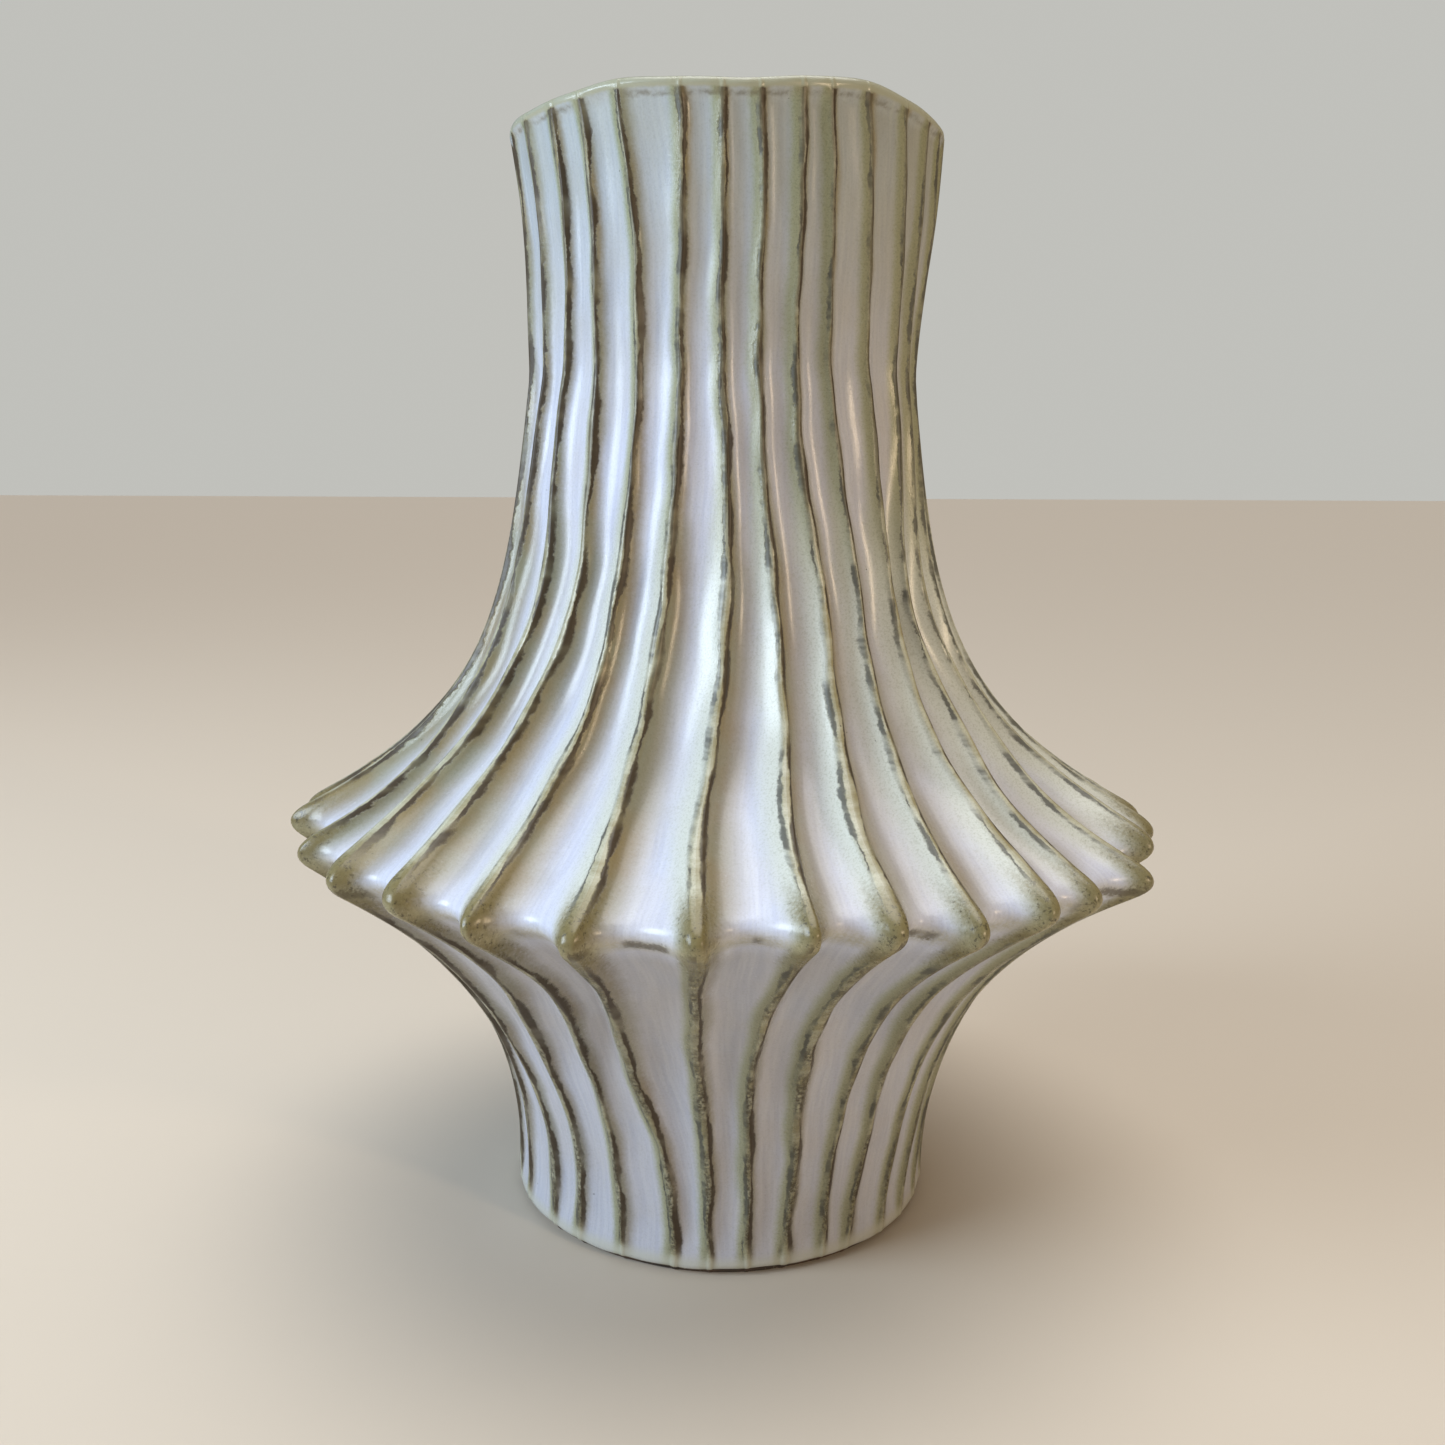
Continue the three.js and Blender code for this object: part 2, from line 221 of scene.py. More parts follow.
def loop(parts):
    """Joins the flutes of each height to one row of corners round the pot"""
    return parts[:, :, :-1].reshape(len(parts), columns)


def placed(turn, radius, z):
    """Points of rows of corners, with each row's first point again at its end"""
    x, y = radius * np.sin(turn), -radius * np.cos(turn)
    z = np.broadcast_to(z, x.shape)
    x = x + through(lean_heights, leans, z.ravel())[0].reshape(z.shape)
    points = np.stack([x, y, z], axis=-1)
    return np.concatenate([points, points[:, :1]], axis=1) * MM


def plain_rings(profile):
    """Rows of round rings from (radius, height) pairs, with their corners in line with the flutes"""
    radius, z = np.array(profile, float).T
    turn = loop(carve(np.clip(z, glaze_line, height))[0])
    return placed(turn, radius[:, None], z[:, None])


def skin(z, sink):
    """Rows of the carved surface at each height, sunk that far into the pot"""
    turn, radius = (loop(part) for part in carve(z)[:2])
    return placed(turn, radius - sink, z[:, None])


def spaced(low, high, pitch, fine):
    """Heights between low and high, at a pitch along the surface that is finer near the waist"""
    z = np.linspace(low, high, 4000)
    run = np.hypot(np.diff(outline(z, **ridge_form)), np.diff(z))
    middle = (z[1:] + z[:-1]) / 2
    nearness = np.exp(-(((middle - waist_z) / 11) ** 2))
    count = np.cumsum(run / (pitch - (pitch - fine) * nearness))
    whole = max(round(count[-1]), 1)
    return np.interp(np.linspace(0, count[-1], whole + 1), np.concatenate([[0], count]), z)


def thrown_piece(name, rows):
    """A mesh piece from rows of points that run up its outside and down its inside"""
    bpy.ops.object.select_all(action="DESELECT")
    bpy.ops.mesh.primitive_grid_add(x_subdivisions=columns, y_subdivisions=len(rows) - 1, size=1)
    piece = bpy.context.object
    piece.name = piece.data.name = name
    flat = np.array([v.co for v in piece.data.vertices])
    column = np.rint((flat[:, 0] + 0.5) * columns).astype(int)
    row = np.rint((flat[:, 1] + 0.5) * (len(rows) - 1)).astype(int)
    piece.data.vertices.foreach_set("co", rows[row, column].astype(np.float32).ravel())
    return piece, row, column


def joined(piece, crease=None):
    """Closes the seam and the poles of a piece, and shades it smooth, but for edges sharper than crease"""
    bpy.ops.object.mode_set(mode="EDIT")
    bpy.ops.mesh.select_all(action="SELECT")
    bpy.ops.mesh.remove_doubles(threshold=0.000002)
    bpy.ops.object.mode_set(mode="OBJECT")
    if crease is None:
        bpy.ops.object.shade_smooth()
    else:
        bpy.ops.object.shade_smooth_by_angle(angle=math.radians(crease))


floor_top = liner_bottom - clearance
recess = 3.0
foot_ring = 10.0
foot_inside = ridge_form["foot"] - 1.5 - foot_ring
lip_width = 7.0
joint_radius = outline(np.array([waist_z]), **bore_form)[0]

# The lip keeps its width where it can, and is cut back where a deep hollow leaves less wall outside it
wall_outside = 2.0
hollow_wall = loop(carve(np.array([waist_z + joint_lip + 1.0]))[1]) - clay_sink - wall_outside
lip_edge = np.clip(hollow_wall, joint_radius + 1.0, joint_radius + lip_width)


def joint_rings(offset):
    """One face of the joint: in along the shelf, up the lip and over it, offset from the joint's middle"""
    z = waist_z + offset
    turn = loop(carve(np.array([z]))[0])
    edge, inside = lip_edge + offset, np.full_like(turn, joint_radius)
    lip = [placed(turn, edge, z), placed(turn, edge, z + joint_lip), placed(turn, inside, z + joint_lip)]
    return np.concatenate([skin(np.array([z]), clay_sink)] + lip)


def bore_heights(low, high):
    return spaced(low, high, 7.0, 3.0)


corner_radius = 12.0
corner_top = floor_top + corner_radius
corner_wall = outline(np.array([corner_top]), **bore_form)[0]
corner_turns = np.radians([0, 20, 40, 60, 78, 90])
floor_corner = [
    (corner_wall - corner_radius * (1 - math.cos(t)), corner_top - corner_radius * math.sin(t))
    for t in corner_turns
]
bowl_bore = bore_heights(corner_top + 4, waist_z - joint_gap / 2)[::-1]
trim_depth = 0.12
trim_marks = [(r, recess - trim_depth * (0.5 + 0.5 * math.cos(r * 1.9))) for r in np.arange(1.0, 47.0, 0.83)]

# The bare foot under the glaze: its lowest edge is worn in, and the clay goes straight up from there
bowl_foot = skin(np.array([glaze_line]), clay_sink + 0.8)
bowl_foot[..., 2] = 0
bowl_skirt = skin(np.array([glaze_line, glaze_line, glaze_line]), clay_sink)
bowl_skirt[..., 2] = np.array([0.8, 1.2, glaze_line])[:, None] * MM
bowl_skirt[0, :, :2] *= 0.9985
bowl_rows = np.concatenate([
    plain_rings([(0, recess)] + trim_marks + [(foot_inside - 1.6, recess), (foot_inside - 0.5, 0.5)]),
    plain_rings([(foot_inside, 0)]),
    bowl_foot,
    bowl_skirt,
    skin(spaced(glaze_line, waist_z - joint_gap / 2, 6.0, 3.0)[1:-1], clay_sink),
    joint_rings(-joint_gap / 2),
    plain_rings(np.column_stack([outline(bowl_bore, **bore_form), bowl_bore])[1:]),
    plain_rings(floor_corner + [(30, floor_top), (15, floor_top), (0, floor_top)]),
])
bowl_section, _, _ = thrown_piece("bowl_section_clay", bowl_rows)
joined(bowl_section, crease=38)


def node(tree, kind, inputs=None, **settings):
    """A shader node with its settings, and its inputs set or linked"""
    made = tree.nodes.new("ShaderNode" + kind)
    for setting, value in settings.items():
        setattr(made, setting, value)
    for socket, value in (inputs or {}).items():
        if isinstance(value, bpy.types.NodeSocket):
            tree.links.new(value, made.inputs[socket])
        else:
            made.inputs[socket].default_value = value
    return made


def sum_of(tree, operation, *values, clamp=False):
    made = node(tree, "Math", dict(enumerate(values)), operation=operation, use_clamp=clamp)
    return made.outputs[0]


def fade(tree, value, none, full):
    """0 at the value `none`, rising smoothly to 1 at the value `full`"""
    inputs = {"Value": value, "From Min": none, "From Max": full}
    return node(tree, "MapRange", inputs, interpolation_type="SMOOTHSTEP").outputs[0]


def between(tree, value, low, high):
    return node(tree, "MapRange", {"Value": value, "To Min": low, "To Max": high}).outputs[0]


def cloud(tree, place, scale, detail=2.0, roughness=0.5):
    inputs = {"Vector": place, "Scale": scale, "Detail": detail, "Roughness": roughness}
    return node(tree, "TexNoise", inputs).outputs["Fac"]


def tint(tree, factor, under, over, mode="MIX"):
    inputs = {0: factor, 6: under, 7: over}
    return node(tree, "Mix", inputs, data_type="RGBA", blend_type=mode).outputs[2]


def new_material(name):
    material = bpy.data.materials.new(name)
    material.use_nodes = True
    return material, material.node_tree, material.node_tree.nodes["Principled BSDF"]


def new_group(name, inputs, outputs):
    """A shader node group with number inputs and the outputs named"""
    group = bpy.data.node_groups.new(name, "ShaderNodeTree")
    for label, kind, value in inputs:
        socket = group.interface.new_socket(label, in_out="INPUT", socket_type="NodeSocket" + kind)
        if value is not None:
            socket.default_value = value
    for label, kind in outputs:
        group.interface.new_socket(label, in_out="OUTPUT", socket_type="NodeSocket" + kind)
    return group, group.nodes.new("NodeGroupInput").outputs, group.nodes.new("NodeGroupOutput")


def millimetres(tree):
    place = node(tree, "TexCoord").outputs["Object"]
    return node(tree, "VectorMath", {0: place, "Scale": 1 / MM}, operation="SCALE").outputs[0]


# Iron specks that fire through clay and glaze alike: a few larger spots, and pin pricks between them
specks, given, out = new_group(
    "iron_specks",
    [("Place", "Vector", None), ("Spacing", "Float", 6.0), ("Size", "Float", 0.14), ("Share", "Float", 0.5)],
    [("Specks", "Float")],
)
cells = node(specks, "TexVoronoi", {
    "Vector": given["Place"], "Scale": sum_of(specks, "DIVIDE", 1.0, given["Spacing"])})
spot = sum_of(specks, "MULTIPLY", cells.outputs["Distance"], given["Spacing"])
chance = node(specks, "SeparateColor", {0: cells.outputs["Color"]}).outputs
here = sum_of(specks, "LESS_THAN", chance[0], given["Share"])
large = sum_of(specks, "MULTIPLY", given["Size"], between(specks, chance[1], 0.5, 1.5))
dark = fade(specks, spot, large, sum_of(specks, "MULTIPLY", large, 0.55))
specks.links.new(sum_of(specks, "MULTIPLY", dark, here), out.inputs["Specks"])


def speck_mask(tree, place, spacing, size, share):
    group = node(tree, "Group", node_tree=specks)
    tree.links.new(place, group.inputs["Place"])
    for label, value in (("Spacing", spacing), ("Size", size), ("Share", share)):
        group.inputs[label].default_value = value
    return group.outputs["Specks"]


def stoneware(name, body, warm, grit_height):
    """Bare fired clay: a dark body toasted in patches, with pale grit and iron specks"""
    material, tree, surface = new_material(name)
    place = millimetres(tree)
    patches = cloud(tree, place, 0.05, 4.0, 0.6)
    grit = speck_mask(tree, place, 1.1, 0.22, 0.35)
    iron = speck_mask(tree, place, 2.3, 0.3, 0.3)
    grain = cloud(tree, place, 2.6, 4.0, 0.65)
    base = tint(tree, fade(tree, patches, 0.38, 0.66), body, warm)
    base = tint(tree, between(tree, grain, 0.0, 0.35), base, (0.05, 0.035, 0.025, 1))
    base = tint(tree, sum_of(tree, "MULTIPLY", grit, 0.55), base, (0.42, 0.33, 0.24, 1))
    base = tint(tree, sum_of(tree, "MULTIPLY", iron, 0.8), base, (0.02, 0.014, 0.01, 1))
    grit_relief = sum_of(tree, "MULTIPLY", grit, grit_height)
    relief = sum_of(tree, "ADD", sum_of(tree, "MULTIPLY", grain, 0.08), grit_relief)
    bump = node(tree, "Bump", {"Strength": 0.8, "Distance": MM, "Height": relief})
    tree.links.new(base, surface.inputs["Base Color"])
    tree.links.new(between(tree, grain, 0.78, 0.98), surface.inputs["Roughness"])
    tree.links.new(bump.outputs[0], surface.inputs["Normal"])
    return material


# The bowl's bare clay is darker than the same clay of the neck and slip: its colour is partly the dark
# stoneware and partly painted shade in the gap under the foot
bowl_section.data.materials.append(
    stoneware("bare_stoneware_shaded", (0.075, 0.058, 0.045, 1), (0.14, 0.09, 0.06, 1), 0.10))
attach(bowl_section, "root")
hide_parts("bowl_section")

# ---------------------------------------------------------------------------------------- Neck section
# The upper half, thrown from the same clay: shoulder, neck and rim in one. It is set over the bowl's lip and
# carries the upper half of the flutes. Glaze covers all of it, so only its glazed form shows.

rim_round = 1.7  # height of the rounded rim
crown_radius = ridge_form["rim"] - 2.2
rim_turns = np.radians([0, 18, 36, 54, 72, 90])


def rim_arch(sink, inner_radius):
    """Rows over the rim: from the carved outside up to the crown, and down to the bore"""
    turn, radius = (loop(part) for part in carve(np.array([height - rim_round]))[:2])

    def arc(edge_radius, t):
        z = height - rim_round + (rim_round - sink) * math.sin(t)
        return placed(turn, crown_radius + (edge_radius - crown_radius) * math.cos(t), np.array([[z]]))

    outside = [arc(radius - sink, t) for t in rim_turns[1:]]
    inside = [arc(np.full_like(radius, inner_radius), t) for t in rim_turns[-2::-1]]
    return np.concatenate(outside + inside)


def uneven_rim(rows):
    """Lets the rim rise and dip by hand's work"""
    turn = np.arctan2(rows[..., 0], -rows[..., 1])
    wave = 0.4 * np.cos(turn - 0.15) - 0.14 * np.sin(7 * turn + 1.4) - 0.1 * np.sin(17 * turn)
    wave += 2.3 * np.exp(-(((turn - 0.62) / 0.36) ** 2)) + 1.1 * np.exp(-(((turn + 0.45) / 0.3) ** 2)) - 0.4
    reach = 30  # how far down the neck the wave is felt
    rows[..., 2] += MM * wave * np.clip((rows[..., 2] / MM - height + reach) / reach, 0, 1) ** 3
    return rows


neck_bore = bore_heights(waist_z + joint_gap / 2 + joint_lip, height - rim_round - 3)[::-1]
neck_skin = skin(spaced(waist_z + joint_gap / 2, height - rim_round, 6.0, 3.0), clay_sink)
neck_face = joint_rings(joint_gap / 2)[::-1]
neck_rows = np.concatenate([
    neck_skin,
    rim_arch(clay_sink, outline(np.array([height - rim_round]), **bore_form)[0]),
    plain_rings(np.column_stack([outline(neck_bore, **bore_form), neck_bore])[:-1]),
    neck_face[:-1],
    neck_skin[:1],
])
neck_section, _, _ = thrown_piece("neck_section_clay", uneven_rim(neck_rows))
joined(neck_section, crease=38)
neck_section.data.materials.append(
    stoneware("covered_stoneware", (0.17, 0.12, 0.085, 1), (0.24, 0.16, 0.10, 1), 0.08))
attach(neck_section, "root")
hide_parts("neck_section")

# ----------------------------------------------------------------------------------------- Luting slip
# Thick slip of the same clay, brushed on the bowl's shelf and lip before the neck was set down. Fired, it is
# a thin stepped ring that fills the joint.

slip_half = joint_gap / 2 - clearance
slip_top, slip_under = joint_rings(slip_half), joint_rings(-slip_half)
slip_rows = np.concatenate([slip_under[:1], slip_top, slip_under[::-1]])
luting_slip, _, _ = thrown_piece("luting_slip_ring", slip_rows)
joined(luting_slip, crease=38)
luting_slip.data.materials.append(
    stoneware("fired_slip", (0.13, 0.09, 0.065, 1), (0.18, 0.12, 0.08, 1), 0.03))
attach(luting_slip, "root")
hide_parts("luting_slip")

# ----------------------------------------------------------------------------------------- Outer glaze
# The coat that shows: dipped to just above the foot ring, lapped over the rim, and fired until it ran off the
# ridges. It is thick and milky in the hollows, thin and dark where the ridges broke through it.

glaze_pitch = 3.1  # between rows of the coat, along its surface
glaze_fine = 1.15  # the same, at the waist
lap_height = height - 8.0  # where the lap inside the rim ends
lap_radius = 49.4
glaze_wall = 0.8
# The thick lower edge: height above the glaze line, and how far it is sunk into the pot there
glaze_bead = [(0.0, glaze_sink), (0.2, 0.35), (0.7, -0.08), (1.6, -0.12), (3.0, -0.04)]

outer_z = np.concatenate([
    [glaze_line + up for up, _ in glaze_bead],
    spaced(glaze_line + 4.6, height - 9.0, glaze_pitch, glaze_fine),
    np.linspace(height - 8.0, height - rim_round, 9),
])
outer_sink = np.concatenate([[sink for _, sink in glaze_bead], np.zeros(len(outer_z) - len(glaze_bead))])

# The hidden inner face needs fewer rows: every third, but every second round and under the waist, where it
# would otherwise cut through the outer face
near_waist = (outer_z > waist_z - 34) & (outer_z < waist_z + 12)
keep = np.arange(len(outer_z)) % np.where(near_waist, 2, 3) == 0
keep[0], keep[-1] = False, True
inner_z = outer_z[keep][::-1]


def uneven_edge(rows):
    """Lets the glaze's lower edge rise and dip"""
    turn = np.arctan2(rows[..., 0], -rows[..., 1])
    wave = 0.2 * np.sin(5 * turn + 1) + 0.14 * np.sin(13 * turn) + 0.1 * np.sin(29 * turn + 2)
    rows[..., 2] += MM * wave * np.exp(-np.maximum(rows[..., 2] / MM - glaze_line, 0) / 3)
    return rows


glaze_outside = skin(outer_z, outer_sink[:, None])
lap_rows = plain_rings([
    (lap_radius, height - 5), (lap_radius, lap_height + 0.6), (lap_radius + 0.3, lap_height),
])
lap_back = plain_rings([(lap_radius + glaze_wall, lap_height + 0.1), (lap_radius + glaze_wall, height - 5)])
arch_back = rim_arch(glaze_wall, lap_radius + glaze_wall)[::-1]
glaze_inside = skin(inner_z, glaze_sink)
glaze_rows = np.concatenate([
    glaze_outside,
    rim_arch(0, lap_radius),
    lap_rows,
    lap_back,
    arch_back,
    glaze_inside,
    glaze_outside[:1],
])
outer_glaze, row, column = thrown_piece("outer_glaze_coat", uneven_edge(uneven_rim(glaze_rows)))

# Marks that the glaze colour follows: how far a place lies from the edge of the ridge on either side, how far
# across and along its flute it is, and its height less the lift of the noses
marks_z = np.concatenate([outer_z, np.full(len(glaze_rows) - len(outer_z), height - rim_round)])
from_left, from_right, level = carve(marks_z)[2:]
first, last = from_left[:, :, :1], from_left[:, :, -1:]
across = (from_left + np.maximum(-first, 0)) / np.maximum(last - first, 1e-6)
across = across + np.arange(flute_count)[:, None]
radial = np.hypot(glaze_rows[:, 0, 0], glaze_rows[:, 0, 1])
along = np.concatenate([[0], np.cumsum(np.hypot(np.diff(radial), np.diff(glaze_rows[:, 0, 2])))]) / MM
corner_vertex = np.empty(len(outer_glaze.data.loops), int)
outer_glaze.data.loops.foreach_get("vertex_index", corner_vertex)
corner_row, corner_column = row[corner_vertex], column[corner_vertex]
face_column = np.repeat(corner_column.reshape(-1, 4).min(axis=1), 4)
at_start = corner_column == face_column


def at_corners(part):
    """Values at the corners of each face, where one flute's last step and the next one's first may differ"""
    start, end = loop(part), part[:, :, 1:].reshape(len(part), columns)
    return np.where(at_start, start[corner_row, face_column], end[corner_row, face_column])


outer_glaze.data.uv_layers[0].name = "course"
for label, marks in (
    ("course", (at_corners(across), along[corner_row])),
    ("edges", (at_corners(from_left), at_corners(from_right))),
    ("level", (at_corners(level), np.zeros(len(corner_row)))),
):
    layer = outer_glaze.data.uv_layers.get(label) or outer_glaze.data.uv_layers.new(name=label)
    layer.data.foreach_set("uv", np.stack(marks, axis=-1).astype(np.float32).ravel())
joined(outer_glaze)

lip_along = np.interp(height - 2.6, outer_z, along[:len(outer_z)])


def breaking_glaze():
    material, tree, surface = new_material("breaking_glaze")

    def calc(operation, *values, clamp=False):
        return sum_of(tree, operation, *values, clamp=clamp)

    def marks(label):
        return node(tree, "SeparateXYZ", {0: node(tree, "UVMap", uv_map=label).outputs[0]}).outputs

    place = millimetres(tree)
    x, _, z = node(tree, "SeparateXYZ", {0: place}).outputs
    course, edges, level = marks("course"), marks("edges"), marks("level")[0]
    left, right, along = edges[0], edges[1], course[1]
    flute = calc("FLOOR", course[0])
    share = calc("DIVIDE", left, calc("ADD", left, right))

    def times(first, *others):
        for other in others:
            first = calc("MULTIPLY", first, other)
        return first

    def stretched(across, row, along_scale):
        parts = {0: across, 1: calc("MULTIPLY", along, along_scale), 2: row}
        return node(tree, "CombineXYZ", parts).outputs[0]

    apart = 17.3  # sets the noise of one ridge well away from that of the next
    left_ridge = calc("MULTIPLY", flute, apart)
    right_ridge = calc("MULTIPLY", calc("ADD", flute, 1.0), apart)
    grain = cloud(tree, place, 1.1, 4.0, 0.65)
    fine = cloud(tree, place, 1.9, 4.0, 0.75)
    drift = cloud(tree, place, 0.045, 3.0, 0.5)
    flow = cloud(tree, stretched(calc("ADD", left, left_ridge), flute, 0.05), 0.9, 4.0, 0.6)

    def centred(value, spread):
        return calc("MULTIPLY", calc("SUBTRACT", value, 0.5), spread)

    # How near the waist, and which stretch of the pot
    waist_gap = calc("ABSOLUTE", calc("SUBTRACT", level, waist_z - 1.0))
    nose_zone = fade(tree, calc("ADD", waist_gap, centred(grain, 5.0)), 11.0, 4.0)
    neckward = fade(tree, z, waist_z + 60, waist_z + 105)
    above = fade(tree, level, waist_z - 4, waist_z + 8)
    shoulder = calc("SUBTRACT", above, neckward, clamp=True)
    below = fade(tree, level, waist_z - 4, waist_z - 10)
    foot_end = fade(tree, z, glaze_line + 2.0, glaze_line + 6.5)
    on_lip = fade(tree, calc("ADD", along, centred(grain, 0.7)), lip_along - 0.1, lip_along + 0.6)

    def ridge_line(distance, ridge, offset, thin, thick, rough):
        """A dark line along the edge of a ridge, soft and uneven, that swells and dies away"""
        line = node(tree, "CombineXYZ", {0: ridge, 1: along, 2: offset}).outputs[0]
        sway = centred(cloud(tree, line, 0.05, 3.0), 1.9)
        tear = centred(cloud(tree, place, 0.6, 6.0, 0.78), rough)
        gap = calc("ABSOLUTE", calc("ADD", calc("ADD", distance, sway), tear))
        width = between(tree, fade(tree, cloud(tree, line, 0.06, 4.0, 0.65), 0.36, 0.66), thin, thick)
        return fade(tree, calc("DIVIDE", gap, width), 1.25, 0.5), line

    brown_line, brown_place = ridge_line(left, left_ridge, 0.0, 0.24, 1.05, 1.3)
    grey_line, grey_place = ridge_line(right, right_ridge, 9.0, 0.14, 0.95, 1.8)
    brown_holds = fade(tree, cloud(tree, brown_place, 0.055, 3.0, 0.6), 0.30, 0.52)
    grey_holds = fade(tree, cloud(tree, grey_place, 0.07, 4.0, 0.65), 0.42, 0.58)
    line_ends = times(between(tree, nose_zone, 1.0, 0.12), foot_end, calc("SUBTRACT", 1.0, on_lip))
    brown_line = times(brown_line, between(tree, brown_holds, 0.22, 1.0), line_ends)
    grey_line = times(grey_line, between(tree, grey_holds, 0.12, 0.95), line_ends)

    # The uncut strip on each ridge: pale on the shoulder, dark along the neck, and streaked below the waist
    nearest = calc("MINIMUM", left, right)
    on_land = fade(tree, calc("ADD", nearest, centred(grain, 0.7)), 0.2, -0.45)
    land_place = node(tree, "CombineXYZ", {0: calc("ROUND", course[0]), 1: along, 2: 4.0}).outputs[0]
    dark_run = fade(tree, cloud(tree, land_place, 0.05, 4.0, 0.6), 0.36, 0.56)
    streak = fade(tree, cloud(tree, place, 0.9, 5.0, 0.75), 0.40, 0.58)
    neck_land = calc("MULTIPLY", neckward, between(tree, dark_run, 0.15, 0.8))
    low_land = times(below, dark_run, streak)
    dark_land = times(calc("ADD", neck_land, low_land, clamp=True), on_land, line_ends)

    # Olive on the right flank of each ridge, partly where the glaze ran thin and partly painted shade of the
    # flank turned from the window; cream where the glaze ran up to the next one
    wavy = centred(cloud(tree, stretched(0.0, left_ridge, 1.0), 0.05, 3.0), 0.3)
    warm_shaded_side = fade(tree, x, -25.0, 85.0)  # painted warm shade: warmer and darker towards the pot's +X side, away from the window
    # The olive reaches further across on the shoulder and towards +X: painted shade on flanks turned from the
    # light
    shoulder_reach = calc("MULTIPLY", shoulder, between(tree, warm_shaded_side, 0.42, 0.68))
    olive_reach = calc("ADD", calc("ADD", 0.26, shoulder_reach), calc("MULTIPLY", wavy, 1.5))
    olive = fade(tree, calc("ADD", share, centred(grain, 0.10)), olive_reach, -0.02)
    olive = calc("MULTIPLY", olive, between(tree, above, 0.8, 0.97))
    cream_reach = calc("ADD", between(tree, shoulder, 3.4, 8.0), calc("MULTIPLY", wavy, 8.0))
    cream = fade(tree, calc("ADD", right, centred(grain, 1.2)), cream_reach, 0.8)
    khaki = fade(tree, right, between(tree, shoulder, 2.4, 1.0), 0.0)
    khaki = calc("MULTIPLY", khaki, between(tree, shoulder, 0.75, 0.4))

    pool_tone = tint(tree, fade(tree, flow, 0.34, 0.68), (0.62, 0.66, 0.81, 1), (0.70, 0.74, 0.87, 1))
    rosy = between(tree, fade(tree, drift, 0.4, 0.62), 0.0, 0.3)
    pool_tone = tint(tree, rosy, pool_tone, (0.68, 0.66, 0.68, 1))
    cream_tone = tint(tree, shoulder, (0.50, 0.53, 0.40, 1), (0.69, 0.72, 0.66, 1))
    olive_tone = tint(tree, fade(tree, drift, 0.38, 0.6), (0.27, 0.21, 0.085, 1), (0.27, 0.26, 0.16, 1))
    # Browner olive towards +X: painted warm shade
    olive_tone = tint(tree, calc("MULTIPLY", warm_shaded_side, 0.6), olive_tone, (0.30, 0.225, 0.105, 1))
    colour = tint(tree, cream, pool_tone, cream_tone)

    # Greener and darker towards the rim; browner and darker on the neck's +X side, which is painted warm
    # shade
    rimward = fade(tree, calc("ADD", z, centred(drift, 30.0)), waist_z + 95, height)
    colour = tint(tree, calc("MULTIPLY", rimward, 0.85), colour, (0.66, 0.71, 0.62, 1), "MULTIPLY")
    colour = tint(tree, calc("MULTIPLY", warm_shaded_side, neckward), colour, (0.78, 0.70, 0.56, 1), "MULTIPLY")
    colour = tint(tree, khaki, colour, (0.31, 0.30, 0.19, 1))
    colour = tint(tree, olive, colour, olive_tone)
    land_patches = fade(tree, cloud(tree, land_place, 0.12, 4.0, 0.6), 0.4, 0.62)
    land_tone = tint(tree, land_patches, (0.60, 0.60, 0.46, 1), (0.37, 0.34, 0.20, 1))
    colour = tint(tree, calc("MULTIPLY", on_land, 0.7), colour, land_tone)
    # Darker below the waist: painted shade under the overhanging waist
    colour = tint(tree, calc("MULTIPLY", below, 0.8), colour, (0.80, 0.77, 0.72, 1), "MULTIPLY")

    # The edge round the waist: olive noses with dark specks, and short dark strokes between them
    crest = fade(tree, calc("ADD", nearest, centred(grain, 2.0)), 4.2, 0.4)
    nose = calc("MULTIPLY", crest, nose_zone)
    colour = tint(tree, calc("MULTIPLY", nose, 0.88), colour, (0.20, 0.165, 0.065, 1))
    rolled = calc("ADD", calc("SUBTRACT", level, waist_z - 2.6), centred(cloud(tree, place, 0.07, 4.0), 4.0))
    edge = fade(tree, calc("ABSOLUTE", rolled), 3.4, 0.3)
    edge = calc("MULTIPLY", edge, between(tree, fade(tree, grain, 0.4, 0.6), 0.35, 0.6))
    colour = tint(tree, edge, colour, (0.44, 0.41, 0.25, 1))
    stroke_parts = {0: left_ridge, 1: calc("MULTIPLY", share, 1.6), 2: 2.0}
    stroke_place = node(tree, "CombineXYZ", stroke_parts).outputs[0]
    stroke = fade(tree, calc("ABSOLUTE", calc("ADD", rolled, centred(grain, 3.6))), 2.0, 0.4)
    stroke = calc("MULTIPLY", stroke, fade(tree, cloud(tree, stroke_place, 1.3, 1.0), 0.5, 0.6))
    colour = tint(tree, calc("MULTIPLY", stroke, 0.75), colour, (0.075, 0.055, 0.025, 1))
    nose_specks = calc("MULTIPLY", nose, fade(tree, cloud(tree, place, 0.8, 5.0, 0.75), 0.54, 0.64))
    colour = tint(tree, calc("MULTIPLY", nose_specks, 0.8), colour, (0.06, 0.05, 0.03, 1))

    # A sugary, finely mottled surface all over
    mottle = calc("MULTIPLY", fade(tree, fine, 0.46, 0.66), between(tree, cream, 0.28, 0.6))
    colour = tint(tree, mottle, colour, (0.66, 0.67, 0.60, 1), "MULTIPLY")
    colour = tint(tree, calc("MULTIPLY", grey_line, 0.88), colour, (0.06, 0.06, 0.052, 1))
    colour = tint(tree, calc("MULTIPLY", dark_land, 0.9), colour, (0.07, 0.055, 0.03, 1))
    colour = tint(tree, calc("MULTIPLY", brown_line, 0.93), colour, (0.045, 0.027, 0.012, 1))

